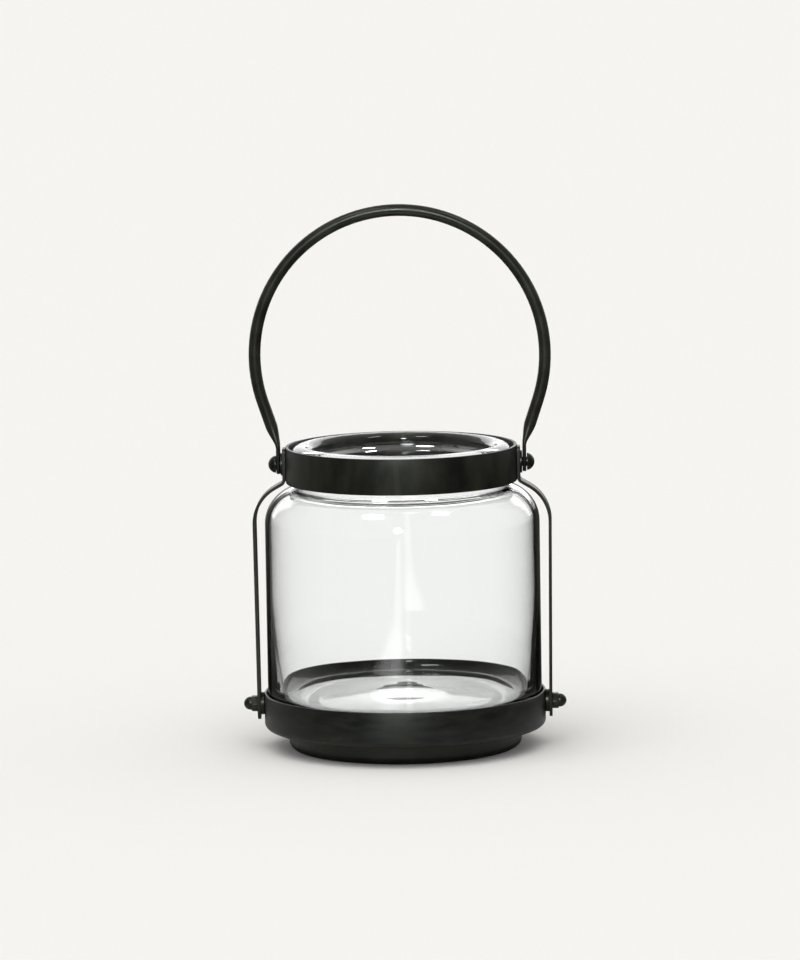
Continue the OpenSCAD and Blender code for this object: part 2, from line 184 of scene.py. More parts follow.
def mirrored(piece, name):
    """A left copy of a right-hand piece, with its own mesh."""
    copy = piece.copy()
    copy.data = piece.data.copy()
    copy.name = name
    bpy.context.collection.objects.link(copy)
    pick(copy)
    copy.data.transform(Matrix.Scale(-1, 4, (1, 0, 0)))
    bpy.ops.object.mode_set(mode="EDIT")
    bpy.ops.mesh.select_all(action="SELECT")
    bpy.ops.mesh.normals_make_consistent(inside=False)
    bpy.ops.object.mode_set(mode="OBJECT")
    return copy


def combine(piece, tool, kind):
    """Joins a tool to a piece, cuts it out or keeps what both share, and takes it away."""
    pick(piece)
    bpy.ops.object.modifier_add(type="BOOLEAN")
    piece.modifiers["Boolean"].operation = kind
    piece.modifiers["Boolean"].solver = "EXACT"
    piece.modifiers["Boolean"].object = tool
    bpy.ops.object.modifier_apply(modifier="Boolean")
    pick(tool)
    bpy.ops.object.delete()


def soften_edges(piece, width, segments, angle):
    """Rounds every edge of the active piece that is sharper than the angle."""
    bpy.ops.object.modifier_add(type="BEVEL")
    piece.modifiers["Bevel"].width = width
    piece.modifiers["Bevel"].segments = segments
    piece.modifiers["Bevel"].limit_method = "ANGLE"
    piece.modifiers["Bevel"].angle_limit = math.radians(angle)
    bpy.ops.object.modifier_apply(modifier="Bevel")


def finish_piece(piece, node, body, material, angle=35):
    """Smooths a piece, gives it its finish and lets it stand for its node."""
    pick(piece)
    bpy.ops.object.shade_smooth_by_angle(angle=math.radians(angle))
    piece.data.materials.clear()
    piece.data.materials.append(material)
    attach(piece, body)
    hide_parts(node)
    print(piece.name, "has", len(piece.data.polygons), "faces")


# %% Helpers for materials
def hex_colour(text):
    """A colour written as sRGB hex digits, turned to the linear values that shaders use."""
    linear = []
    for i in (0, 2, 4):
        c = int(text[i:i + 2], 16) / 255
        linear.append(c / 12.92 if c <= 0.04045 else ((c + 0.055) / 1.055) ** 2.4)
    return (*linear, 1.0)


def add_node(material, kind, inputs=None, **settings):
    """Adds a shader node. An input is set to a value, or joined to another node's output."""
    node = material.node_tree.nodes.new(kind)
    for key, value in settings.items():
        setattr(node, key, value)
    for key, value in (inputs or {}).items():
        if isinstance(value, bpy.types.NodeSocket):
            material.node_tree.links.new(value, node.inputs[key])
        else:
            node.inputs[key].default_value = value
    return node


def new_material(name):
    """An empty material with its output, and the object coordinates its patterns read."""
    material = bpy.data.materials.new(name)
    material.use_nodes = True
    material.node_tree.nodes.clear()
    output = add_node(material, "ShaderNodeOutputMaterial")
    place = add_node(material, "ShaderNodeTexCoord").outputs["Object"]
    return material, output, place


def ramp(material, value, low, high, low_colour, high_colour):
    """Colours a pattern: one colour up to low, another from high on."""
    node = add_node(material, "ShaderNodeValToRGB", {"Fac": value})
    node.color_ramp.elements[0].position = low
    node.color_ramp.elements[1].position = high
    node.color_ramp.elements[0].color = low_colour
    node.color_ramp.elements[1].color = high_colour
    return node.outputs["Color"]


def per_metre(size_mm):
    """Noise scale for a pattern whose patches are about this many millimetres across."""
    return 1 / (size_mm * MM)


# %% [markdown]
# ## Blackened iron
# The frame is mild steel strip, tube and spun sheet with an antique black finish: thin, dark and
# satin, rubbed back a little so that a brown-olive undertone shows in patches. The eye reads it
# by a broad soft highlight and a colour that is never quite even. A dark base colour with
# cloudy patches gives that, browner on rubbed edges, and a faint grain breaks the highlight.
# Spun sheet has its patches drawn out round the axis, and strip has them drawn out upwards.

# %% Blackened iron
cloud_mm = 14
grit_mm = 1.1
grit_depth = 0.12 * MM
patch_from, patch_full = 0.38, 0.72
worn_from, worn_full = 0.52, 0.6
rubbed_brown = hex_colour("2c2820")
cool_shine = hex_colour("eef6ee")


def blackened_iron(name, dark, warm, rough_low, rough_high, grain, draw):
    """Iron with patches from a dark colour to a warm one, and roughness from low to high.

    Grain is the strength of the fine bump, and draw is how much the patterns are pressed
    together along Z: above 1 they run round the piece, below 1 they run up it.
    """
    material, output, place = new_material(name)
    drawn = add_node(material, "ShaderNodeMapping",
                     {"Vector": place, "Scale": (1, 1, draw)}).outputs["Vector"]
    clouds = add_node(material, "ShaderNodeTexNoise",
                      {"Vector": drawn, "Scale": per_metre(cloud_mm),
                       "Detail": 6.0, "Roughness": 0.62})
    grit = add_node(material, "ShaderNodeTexNoise",
                    {"Vector": drawn, "Scale": per_metre(grit_mm),
                     "Detail": 3.0, "Roughness": 0.65})
    colour = ramp(material, clouds.outputs["Fac"], patch_from, patch_full,
                  hex_colour(dark), hex_colour(warm))
    wear = add_node(material, "ShaderNodeNewGeometry")
    edge = ramp(material, wear.outputs["Pointiness"], worn_from, worn_full,
                (0, 0, 0, 1), (1, 1, 1, 1))
    rubbed = add_node(material, "ShaderNodeMix",
                      {"Factor": edge, "A": colour, "B": rubbed_brown},
                      data_type="RGBA")
    rough = add_node(material, "ShaderNodeMapRange",
                     {"Value": clouds.outputs["Fac"], "From Min": 0.3, "From Max": 0.75,
                      "To Min": rough_low, "To Max": rough_high})
    bump = add_node(material, "ShaderNodeBump",
                    {"Height": grit.outputs["Fac"], "Strength": grain, "Distance": grit_depth})
    shader = add_node(material, "ShaderNodeBsdfPrincipled",
                      {"Base Color": rubbed.outputs["Result"],
                       "Roughness": rough.outputs["Result"],
                       "Normal": bump.outputs["Normal"],
                       "Specular Tint": cool_shine})
    material.node_tree.links.new(shader.outputs["BSDF"], output.inputs["Surface"])
    return material


iron_strip = blackened_iron("blackened_strip_iron", "0d0f0c", "27271d",
                            rough_low=0.3, rough_high=0.5, grain=0.3, draw=0.4)
iron_sheet = blackened_iron("blackened_spun_iron", "0d0f0c", "22211b",
                            rough_low=0.31, rough_high=0.45, grain=0.4, draw=4.0)
iron_tube = blackened_iron("blackened_iron_tube", "141513", "282a22",
                           rough_low=0.26, rough_high=0.44, grain=0.25, draw=1.0)
iron_fastener = blackened_iron("black_oxide_steel", "0b0d0a", "1c1e17",
                               rough_low=0.28, rough_high=0.42, grain=0.15, draw=1.0)
print("iron finishes made")

# %% [markdown]
# ## Clear glass
# The jar is soda-lime glass, blown into a mould. It is clear with a trace of grey-green that
# only its thick edges show, and its wall is never quite even, so what is seen through it swims a
# little. One Principled shader with full transmission and an index of 1.52 gives the glass, and
# a broad, very shallow bump gives the swim.

# %% Clear glass
swim_mm = 30
swim_depth = 0.25 * MM
swim_draw = 0.35


def clear_glass():
    """Smooth clear glass whose surface swims a little, more slowly upwards than sideways."""
    material, output, place = new_material("soda_lime_glass")
    stretch = add_node(material, "ShaderNodeMapping",
                       {"Vector": place, "Scale": (1, 1, swim_draw)})
    swim = add_node(material, "ShaderNodeTexNoise",
                    {"Vector": stretch.outputs["Vector"], "Scale": per_metre(swim_mm),
                     "Detail": 1.0, "Roughness": 0.4})
    bump = add_node(material, "ShaderNodeBump",
                    {"Height": swim.outputs["Fac"], "Strength": 1.0, "Distance": swim_depth})
    shader = add_node(material, "ShaderNodeBsdfPrincipled",
                      {"Base Color": hex_colour("fdfefd"),
                       "Roughness": 0.0,
                       "IOR": 1.52,
                       "Transmission Weight": 1.0,
                       "Normal": bump.outputs["Normal"]})
    material.node_tree.links.new(shader.outputs["BSDF"], output.inputs["Surface"])
    return material


glass = clear_glass()
print("glass made")

# %% [markdown]
# ## The glass jar
# One wall, turned about the axis: a heavy bottom with a round heel, a straight body that gets
# thicker towards the bottom, a round shoulder, a short neck and a thick rolled lip. The outline
# goes up the outside, over the lip and down the inside, and both ends lie on the axis, so that
# the turned shell is closed.

# %% Draw the jar's outline
jar_wall = 3 * MM
jar_floor = 13 * MM
jar_swell = 4 * MM
swell_height = 60 * MM
heel_in_r = 7 * MM
floor_dome_r = 19 * MM
floor_dome_height = 1 * MM
floor_flat_r = 40 * MM
heel_r = 20 * MM
base_land = 6 * MM
kick_height = 2 * MM
neck_r = 53 * MM
neck_height = 7.7 * MM
neck_fillet = 3 * MM
neck_ease = 0.5 * MM
lip_out = 5.3 * MM
lip_in = 2.8 * MM
lip_crown = 3.6 * MM
lip_flare = 8 * MM
wall_rings = (0.3, 0.45, 0.6, 0.8)
wall_rings_inside = (0.8, 0.9)
flare_steps = 10
crown_steps = 24
swell_steps = 16


def low_dome(radius, height, z):
    """A shallow dome standing on height z, from the axis out to radius."""
    ball = (radius ** 2 + height ** 2) / (2 * height)
    reach = math.degrees(math.asin(radius / ball))
    return [(0, z + height)] + arc((0, z + height - ball), ball, 90, 90 - reach, steps=12)


def lip_flare_side(start, end, z):
    """The neck thickening into the lip, from radius start to radius end."""
    places = [i / flare_steps for i in range(1, flare_steps + 1)]
    return [(start + (end - start) * smooth_step(t), z - lip_flare * (1 - t)) for t in places]


def wall_inside(z):
    """Radius of the wall's inside at height z above the base. It leans in near the bottom."""
    return jar_r - jar_wall - jar_swell * max(0, (jar_floor + swell_height - z)
                                              / swell_height) ** 2


def jar_outline():
    """Up the outside from the axis, over the lip and down the inside back to the axis."""
    low = jar_low.z
    lip_z = jar_high.z - lip_crown
    shoulder_r = jar_r - neck_r - neck_ease
    rise = math.sqrt((shoulder_r + neck_fillet) ** 2 - (neck_fillet - neck_ease) ** 2)
    sweep = math.degrees(math.atan2(rise, neck_fillet - neck_ease))
    fillet = (neck_r + neck_fillet, lip_z - lip_flare - neck_height)
    shoulder = (neck_r + neck_ease, fillet[1] - rise)
    heel = (jar_r - heel_r, low + heel_r)
    lean = math.degrees(math.atan(2 * jar_swell * (swell_height - heel_in_r)
                                  / swell_height ** 2))
    corner_top = jar_floor + heel_in_r * (1 - math.sin(math.radians(lean)))
    corner = (wall_inside(corner_top) - heel_in_r * math.cos(math.radians(lean)),
              low + jar_floor + heel_in_r)
    neck_in = neck_r - jar_wall
    lip_r = neck_r + lip_out
    mouth_r = neck_in - lip_in
    outside = low_dome(heel[0] - base_land, kick_height, low)
    outside += [(heel[0], low)]
    outside += arc(heel, heel_r, -90, 0, steps=14)
    outside += [(jar_r, low + (shoulder[1] - low) * t) for t in wall_rings]
    outside += [(jar_r, shoulder[1])]
    outside += arc(shoulder, shoulder_r, 0, sweep, steps=20)
    outside += arc(fillet, neck_fillet, 180 + sweep, 180, steps=10)
    outside += [(neck_r, lip_z - lip_flare)] + lip_flare_side(neck_r, lip_r, lip_z)
    crown = []
    for i in range(1, crown_steps + 1):
        a = math.pi * i / crown_steps
        crown.append(((lip_r + mouth_r) / 2 + (lip_r - mouth_r) / 2 * math.cos(a),
                      lip_z + lip_crown * math.sin(a)))
    inside = low_dome(floor_dome_r, floor_dome_height, low + jar_floor)
    inside += [(floor_flat_r, low + jar_floor), (corner[0], low + jar_floor)]
    inside += arc(corner, heel_in_r, -90, -lean, steps=12)
    for i in range(1, swell_steps + 1):
        z = corner_top + (jar_floor + swell_height - corner_top) * i / swell_steps
        inside.append((wall_inside(z), low + z))
    inside += [(jar_r - jar_wall, low + (shoulder[1] - low) * t) for t in wall_rings_inside]
    inside += [(jar_r - jar_wall, shoulder[1])]
    inside += arc(shoulder, shoulder_r - jar_wall, 0, sweep, steps=20)
    inside += arc(fillet, neck_fillet + jar_wall, 180 + sweep, 180, steps=10)
    inside += [(neck_in, lip_z - lip_flare)] + lip_flare_side(neck_in, mouth_r, lip_z)[:-1]
    return outside + crown + inside[::-1]


outline = jar_outline()
print("jar outline has", len(outline), "points")

# %% Turn the jar
jar = turn("blown_glass_jar", outline, steps=160)
finish_piece(jar, "glass_jar", "frame", glass, angle=80)

# %% [markdown]
# ## Collar, tray and foot
# The collar is a strip bent to a hoop and welded. The tray is spun from sheet and keeps the
# sheet's thickness all over, with a round lower corner. The foot is a pressed ring with its
# lower edge turned in. All three are turned here, from closed outlines whose corners are
# slightly rounded, because no cut edge is sharp once it has been tumbled and blackened.

# %% Turn the collar
band_t = 1.6 * MM
edge_r = 0.35 * MM

band_outline = rounded([(band_r - band_t, band_low.z), (band_r, band_low.z),
                        (band_r, band_high.z), (band_r - band_t, band_high.z)], edge_r)
collar = turn("iron_collar", band_outline, steps=144, closed=True)
finish_piece(collar, "collar_band", "frame", iron_strip)

# %% Turn the tray
tray_t = 1.2 * MM
tray_corner = 3 * MM
rim_steps = 6


def tray_outline():
    """From the floor's underside on the axis, out and up the wall, and back inside."""
    low = tray_low.z
    top = tray_high.z
    inner = tray_r - tray_t
    corner = (tray_r - tray_corner, low + tray_corner)
    rim_r = tray_t / 2
    rim = []
    for i in range(rim_steps + 1):
        a = math.pi * i / rim_steps
        rim.append((tray_r - rim_r + rim_r * math.cos(a), top - rim_r + rim_r * math.sin(a)))
    points = [(0, low), (foot_r, low), (corner[0], low)]
    points += arc(corner, tray_corner, -90, 0, steps=8)
    points += [(tray_r, (low + top) / 2)] + rim
    points += [(inner, corner[1])]
    points += arc(corner, tray_corner - tray_t, 0, -90, steps=8)
    points += [(foot_r, low + tray_t), (0, low + tray_t)]
    return points


tray = turn("spun_iron_tray", tray_outline(), steps=144)
finish_piece(tray, "base_tray", "frame", iron_sheet)

# %% Turn the foot
foot_t = 1.2 * MM
foot_corner = 4 * MM
foot_flange = 8 * MM
foot_chamfer = foot_t * 0.25


def foot_outline():
    """A closed section: flange, round corner and wall."""
    low, top = foot_low.z, foot_high.z
    corner = (foot_r - foot_corner, low + foot_corner)
    flange_r = corner[0] - foot_flange
    points = [(flange_r, low + foot_chamfer), (flange_r + foot_chamfer, low), (corner[0], low)]
    points += arc(corner, foot_corner, -90, 0, steps=8)
    points += [(foot_r, top), (foot_r - foot_t, top), (foot_r - foot_t, corner[1])]
    points += arc(corner, foot_corner - foot_t, 0, -90, steps=8)
    points += [(flange_r, low + foot_t)]
    return points


foot = turn("pressed_iron_foot", foot_outline(), steps=144, closed=True)
finish_piece(foot, "foot_ring", "frame", iron_sheet)

# %% [markdown]
# ## Straps
# Each strap is one strip of flat iron. It lies on the collar, kicks out under it, follows the
# jar's shoulder in one large bend and runs straight down to the tray. A grid is laid row by row
# along the bend line, narrowing in its last rows to the cut outline, and is then given the
# strip's thickness and softened edges.

# %% Draw the strap's bend line
strap_t = 1.6 * MM
strap_half_w = strap_high.y
strap_kick = 60
strap_bend_r = 2.5 * MM
strap_slope = 4.7 * MM
strap_top_round = 2 * MM
strap_bend_over = 1.5 * MM
strap_flat_up = 6 * MM
strap_edge_r = 0.3 * MM
strap_columns = 6
top_steps = 5
tip_steps = 8
tip_turn = 88
tiny = 1e-9


def strap_line():
    """The strip's middle line from top to bottom, as (x, z) points in short steps."""
    top_x = band_r + strap_t / 2
    low_x = spacer_high.x + strap_t / 2
    wide_x = strap_high.x - strap_t / 2
    kick = math.radians(strap_kick)
    big_r = ((wide_x - top_x - strap_slope * math.sin(kick)) / (1 - math.cos(kick))
             - strap_bend_r)
    bend_top = band_low.z + strap_bend_over
    slope_top = Vector((top_x + strap_bend_r * (1 - math.cos(kick)),
                        bend_top - strap_bend_r * math.sin(kick)))
    slope_low = slope_top + strap_slope * Vector((math.sin(kick), -math.cos(kick)))
    centre = slope_low - big_r * Vector((math.cos(kick), math.sin(kick)))
    points = [(top_x, strap_high.z), (top_x, bend_top)]
    points += arc((top_x + strap_bend_r, bend_top), strap_bend_r, 180, 180 + strap_kick, steps=12)
    points += [tuple(slope_low)]
    points += arc(centre, big_r, strap_kick, 0, steps=24)
    points += [(low_x, screw_z + strap_flat_up), (low_x, strap_low.z)]
    return points


def walk_along(points, distances):
    """Places at the given distances along a line of points."""
    places = []
    ends = [0.0]
    for a, b in zip(points, points[1:]):
        ends.append(ends[-1] + (Vector(b) - Vector(a)).length)
    for d in distances:
        k = max(i for i in range(len(points) - 1) if ends[i] <= d + tiny)
        a, b = Vector(points[k]), Vector(points[k + 1])
        places.append(a + (b - a).normalized() * (d - ends[k]))
    return places


def strap_rows():
    """(distance from the top, half width) of each row across the strip."""
    line = strap_line()
    length = sum((Vector(b) - Vector(a)).length for a, b in zip(line, line[1:]))
    rows = []
    for i in range(top_steps + 1):
        a = math.radians(90 - 90 * i / top_steps)
        rows.append((strap_top_round * (1 - math.sin(a)),
                     strap_half_w - strap_top_round * (1 - math.cos(a))))
    done = 0.0
    for a, b in zip(line, line[1:]):
        step = (Vector(b) - Vector(a)).length
        done += step
        if strap_top_round + MM < done < length - strap_half_w - MM:
            rows.append((done, strap_half_w))
    for i in range(tip_steps + 1):
        a = math.radians(tip_turn * i / tip_steps)
        rows.append((length - strap_half_w * (1 - math.sin(a)), strap_half_w * math.cos(a)))
    return rows


print("strap line:", len(strap_line()), "points,", len(strap_rows()), "rows")

# %% Lay the strip along its line
deselect_all()
rows = strap_rows()
places = walk_along(strap_line(), [d for d, _ in rows])
bpy.ops.mesh.primitive_grid_add(x_subdivisions=strap_columns, y_subdivisions=len(rows) - 1,
                                size=MM)
strap = bpy.context.object
strap.name = "bent_iron_strap"
for i, vert in enumerate(strap.data.vertices):
    row, column = divmod(i, strap_columns + 1)
    middle = strap_columns / 2
    across = (column - middle) / middle
    vert.co = Vector((places[row].x, across * rows[row][1], places[row].y))
bpy.ops.object.transform_apply(location=True, rotation=True, scale=True)
bpy.ops.object.modifier_add(type="SOLIDIFY")
strap.modifiers["Solidify"].thickness = strap_t
strap.modifiers["Solidify"].offset = 0
strap.modifiers["Solidify"].use_even_offset = True
bpy.ops.object.modifier_apply(modifier="Solidify")
soften_edges(strap, strap_edge_r, segments=3, angle=50)
bpy.ops.object.mode_set(mode="EDIT")
clean_skin()
left_strap = mirrored(strap, "bent_iron_strap_left")
strap.name = "bent_iron_strap_right"
finish_piece(strap, "right_strap", "frame", iron_strip)
finish_piece(left_strap, "left_strap", "frame", iron_strip)

# %% [markdown]
# ## Bail
# The handle is one bent steel tube. Its two ends are pressed flat, which keeps the tube's girth:
# as the tube gets thinner one way, it gets wider the other way. So every ring of the skin is
# known from one number, its half thickness. The centreline is drawn as a curve with a round
# bevel, turned into a mesh, and each ring is then pressed to its own shape.

# %% Draw the bail's rings
tube_r = 3.2 * MM
press_t = 2 * MM
press_bend_r = 13.5 * MM
press_up = 8.2 * MM
press_run = 9 * MM
tab_tail = 5.3 * MM
bail_lean = math.radians(18.5)
tab_in = 11.6 * MM
tab_x = bail_high.x - tube_r - tab_in
bow_r = bail_high.x - tube_r
bore_r = 2.57 * MM
drill_length = 2.2 * bail_high.x


def tip_rings(tip_z, half_w, count):
    """The round tip of the flat end, up to its full width."""
    half_t = press_t / 2
    start = math.asin(half_t / half_w)
    rings = []
    for i in range(count + 1):
        a = start + (math.pi / 2 - start) * i / count
        rings.append((tab_x, tip_z - half_w * math.cos(a), 0.0, half_t,
                      half_w * math.sin(a) - half_t))
    return rings


def pressed_rings(count):
    """From flat to round, up the bend above the flat end and on up the leg."""
    bend = press_bend_r * bail_lean
    whole = bend + press_run
    rings = []
    for i in range(count + 1):
        s = whole * i / count
        lean = bail_lean * min(1, s / bend)
        up_leg = max(0.0, s - bend)
        half_t = tube_r - (tube_r - press_t / 2) * smooth_step(1 - s / whole)
        rings.append((tab_x + press_bend_r * (1 - math.cos(lean)) + up_leg * math.sin(bail_lean),
                      pivot_z + press_up + press_bend_r * math.sin(lean)
                      + up_leg * math.cos(bail_lean),
                      lean, half_t, math.pi * (tube_r - half_t) / 2))
    return rings


def bow_rings(count):
    """Half of the bow, from the leg's top to the crown."""
    leg = ((bow_r * math.cos(bail_lean) - tab_x - press_bend_r * (1 - math.cos(bail_lean)))
           / math.sin(bail_lean))
    bow_z = (pivot_z + press_up + press_bend_r * math.sin(bail_lean)
             + leg * math.cos(bail_lean) + bow_r * math.sin(bail_lean))
    turn_by = math.pi / 2 + bail_lean
    rings = []
    for i in range(count + 1):
        a = turn_by * i / count - bail_lean
        rings.append((bow_r * math.cos(a), bow_z + bow_r * math.sin(a), -a, tube_r, 0.0))
    return rings


tab_half_w = press_t / 2 + math.pi * (tube_r - press_t / 2) / 2
right_rings = tip_rings(pivot_z - tab_tail + tab_half_w, tab_half_w, count=8)
right_rings += pressed_rings(count=20) + bow_rings(count=40)
left_rings = [(-x, z, math.pi - lean, half_t, flat) for x, z, lean, half_t, flat
              in reversed(right_rings[:-1])]
bail_rings = right_rings + left_rings
print("the bail has", len(bail_rings), "rings, its crown at",
      round((right_rings[-1][1] + tube_r) / MM, 2), "mm")

# %% Draw the tube as a curve and press its ends
deselect_all()
bpy.ops.curve.primitive_nurbs_path_add()
bail = bpy.context.object
bail.name = "bent_iron_bail"
bail.data.splines.clear()
line = bail.data.splines.new("POLY")
line.points.add(len(bail_rings) - 1)
for point, (x, z, *_) in zip(line.points, bail_rings):
    point.co = (x, 0, z, 1)
bail.data.bevel_depth = tube_r
bail.data.bevel_resolution = 6
bail.data.use_fill_caps = False
bpy.ops.object.convert(target="MESH")
sides = len(bail.data.vertices) // len(bail_rings)
for k, (x, z, lean, half_t, flat) in enumerate(bail_rings):
    for i in range(sides):
        a = math.tau * (i + 0.5) / sides
        out = half_t * math.sin(a)
        along_y = half_t * math.cos(a) + math.copysign(flat, math.cos(a))
        bail.data.vertices[k * sides + i].co = (x + out * math.cos(lean), along_y,
                                                z - out * math.sin(lean))
bpy.ops.object.mode_set(mode="EDIT")
bpy.ops.mesh.select_mode(type="EDGE")
bpy.ops.mesh.select_all(action="DESELECT")
bpy.ops.mesh.select_non_manifold()
bpy.ops.mesh.edge_face_add()
bpy.ops.mesh.select_mode(type="VERT")
clean_skin()
print("the tube has", sides, "sides and", len(bail.data.polygons), "faces")

# %% Bore the flat ends
deselect_all()
bpy.ops.mesh.primitive_cylinder_add(vertices=64, radius=bore_r, depth=drill_length,
                                    location=(0, 0, pivot_z), rotation=(0, math.pi / 2, 0))
combine(bail, bpy.context.object, "DIFFERENCE")
finish_piece(bail, "bail_handle", "bail", iron_tube, angle=40)

# %% [markdown]
# ## Rivets, washers, spacers and nuts
# Each fastener is turned or cut once on the right side, with the small radii that a header or a
# tumbler leaves, and mirrored to the left. The rivet's head is a tall dome outside, and its
# hammered tail is a flat one inside the collar.

# %% Turn the pivot rivets
def dome(face, radius, height, edge, way, steps=10):
    """Half outline of a dome from its rim to its top. The rim has a small straight edge."""
    cap = height - edge
    ball = (radius ** 2 + cap ** 2) / (2 * cap)
    reach = math.asin(min(1.0, radius / ball))
    if cap > radius:
        reach = math.pi - reach
    points = [(radius, face), (radius, face + way * edge)]
    for i in range(1, steps):
        a = reach * (1 - i / steps)
        points.append((ball * math.sin(a), face + way * (height - ball + ball * math.cos(a))))
    return points + [(0, face + way * height)]


head_height = 4 * MM
head_edge = 0.5 * MM
tail_height = 1.2 * MM
tail_edge = 0.4 * MM
tail_r = 3.75 * MM
shank_r = 2.5 * MM
head_x = rivet_high.x - head_height
tail_x = rivet_low.x + tail_height
rivet_outline = dome(tail_x, tail_r, tail_height, tail_edge, -1)[::-1]
rivet_outline += [(shank_r, tail_x), (shank_r, head_x)]
rivet_outline += dome(head_x, rivet_high.y, head_height, head_edge, 1, steps=16)
rivet = turn("pivot_rivet_right", rivet_outline, steps=48, axis="X", height=pivot_z)
left_rivet = mirrored(rivet, "pivot_rivet_left")
finish_piece(rivet, "right_pivot_rivet", "frame", iron_fastener, angle=50)
finish_piece(left_rivet, "left_pivot_rivet", "frame", iron_fastener, angle=50)

# %% Turn the washers and spacers
washer_hole_r = 2.55 * MM
washer_corner = 0.15 * MM
spacer_hole_r = 2.75 * MM
spacer_corner = 0.25 * MM


def turned_washer(name, low, high, hole_r, height, corner):
    """A flat washer along X between two corners of its box."""
    outline = rounded([(hole_r, low.x), (high.y, low.x), (high.y, high.x), (hole_r, high.x)],
                      corner)
    return turn(name, outline, steps=64, axis="X", height=height, closed=True)


washer = turned_washer("pivot_washer_right", washer_low, washer_high, washer_hole_r, pivot_z,
                       washer_corner)
left_washer = mirrored(washer, "pivot_washer_left")
finish_piece(washer, "right_bail_washer", "frame", iron_fastener, angle=50)
finish_piece(left_washer, "left_bail_washer", "frame", iron_fastener, angle=50)

spacer = turned_washer("tray_spacer_right", spacer_low, spacer_high, spacer_hole_r, screw_z,
                       spacer_corner)
left_spacer = mirrored(spacer, "tray_spacer_left")
finish_piece(spacer, "right_tray_spacer", "frame", iron_fastener, angle=50)
finish_piece(left_spacer, "left_tray_spacer", "frame", iron_fastener, angle=50)

# %% Cut the cap nuts
hex_h = 3.3 * MM
cap_r = 3.55 * MM
nut_edge_r = 0.12 * MM
flat_r = nut_high.y
corner_r = flat_r / math.cos(math.radians(30))


def cap_nut():
    """A chamfered hexagon under a round dome, its axis along X."""
    deselect_all()
    bpy.ops.mesh.primitive_cylinder_add(
        vertices=6, radius=corner_r, depth=hex_h,
        location=(nut_low.x + hex_h / 2, 0, screw_z), rotation=(0, math.pi / 2, 0))
    nut = bpy.context.object
    nut.name = "cap_nut_right"
    bpy.ops.object.transform_apply(location=True, rotation=True, scale=True)
    chamfer = (corner_r - flat_r) / 2
    end = nut_low.x + hex_h
    lens = turn("lens", [(0, nut_low.x - MM), (flat_r, nut_low.x), (corner_r, nut_low.x + chamfer),
                         (corner_r, end - chamfer), (flat_r, end), (0, end + MM)],
                steps=96, axis="X", height=screw_z)
    middle = nut_low.x + hex_h / 2
    centre = nut_high.x - cap_r
    cap_line = [(0, middle), (cap_r, middle), (cap_r, centre)]
    cap_line += arc((0, centre), cap_r, 0, 90, steps=16)
    cap = turn("cap", cap_line, steps=64, axis="X", height=screw_z)
    combine(nut, lens, "INTERSECT")
    combine(nut, cap, "UNION")
    pick(nut)
    soften_edges(nut, nut_edge_r, segments=2, angle=25)
    return nut


nut = cap_nut()
left_nut = mirrored(nut, "cap_nut_left")
finish_piece(nut, "right_cap_nut", "frame", iron_fastener, angle=20)
finish_piece(left_nut, "left_cap_nut", "frame", iron_fastener, angle=20)

# %% [markdown]
# ## Tray screws
# The two low screws sit between the jar's heel and the tray's wall, where hardly anything shows
# of them. The measured pieces are right as they are, so they stay and only get their finish.

# %% Finish the tray screws
for name in ("right_tray_screw", "left_tray_screw"):
    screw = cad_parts[name]
    screw.data.materials.clear()
    screw.data.materials.append(iron_fastener)
    print(name, "kept")

# %% [markdown]
# ## Stage
# A pale floor runs out of sight, under a world of the same colour, so that floor and background
# can't be told apart. Clear glass and black iron show little but what stands round them, so the
# stage is set as for a glass bottle: bright behind, dark in front. What the eye sees directly is
# the pale background. A ray straight through the glass sees it too, with a faint painted glow on
# the floor, which brightens the jar's inside. A ray that a surface has thrown back at least once
# sees the floor round the lantern painted dark grey, a painted reflection of shade that turns a
# lighter painted grey at its left rear, and a dark room that gets lighter behind. One broad lamp
# lights the object evenly. Three small softboxes and two lit cards only make highlights: soft ones
# on the iron, sparkles in the mouth, a pale jar floor, and the streak that a narrow strip draws
# down the middle of the jar.

# %% Lay the floor
background = hex_colour("f5f4f2")
# The two greys are painted reflections: only rays that a surface has thrown back see them on the
# floor.
dark_grey_painted_reflection = hex_colour("4a4a48")
light_grey_painted_reflection = hex_colour("b4b4b0")
floor_size = 80
painted_reflection_from, painted_reflection_full = 0.11, 0.24
grey_patch_x_from, grey_patch_x_full = -0.1, -0.5
grey_patch_y_from, grey_patch_y_full = -0.3, 0.1
# Painted light: a faint blue-white glow of the floor that only rays straight through the glass
# see, to brighten the jar's inside.
glow_through_glass = 0.19


def soft_step(material, value, low, high):
    """0 at low, 1 at high and a soft edge between. Low may be the larger of the two."""
    return add_node(material, "ShaderNodeMapRange",
                    {"Value": value, "From Min": low, "From Max": high},
                    interpolation_type="SMOOTHSTEP").outputs["Result"]


def times(material, first, second):
    """The product of two values, each a number or a node output."""
    return add_node(material, "ShaderNodeMath", {0: first, 1: second},
                    operation="MULTIPLY").outputs["Value"]


def thrown_back(material):
    """1 for a ray that a surface has thrown back at least once, and 0 for a straight one."""
    depth = add_node(material, "ShaderNodeLightPath").outputs["Glossy Depth"]
    return add_node(material, "ShaderNodeMath", {0: depth, 1: 0.5},
                    operation="GREATER_THAN").outputs["Value"]


def through_glass(material, amount):
    """amount for a ray that comes straight through glass, and 0 for all others."""
    straight = add_node(material, "ShaderNodeMath", {0: 1.0, 1: thrown_back(material)},
                        operation="SUBTRACT").outputs["Value"]
    clear = add_node(material, "ShaderNodeLightPath").outputs["Is Transmission Ray"]
    return times(material, times(material, straight, clear), amount)


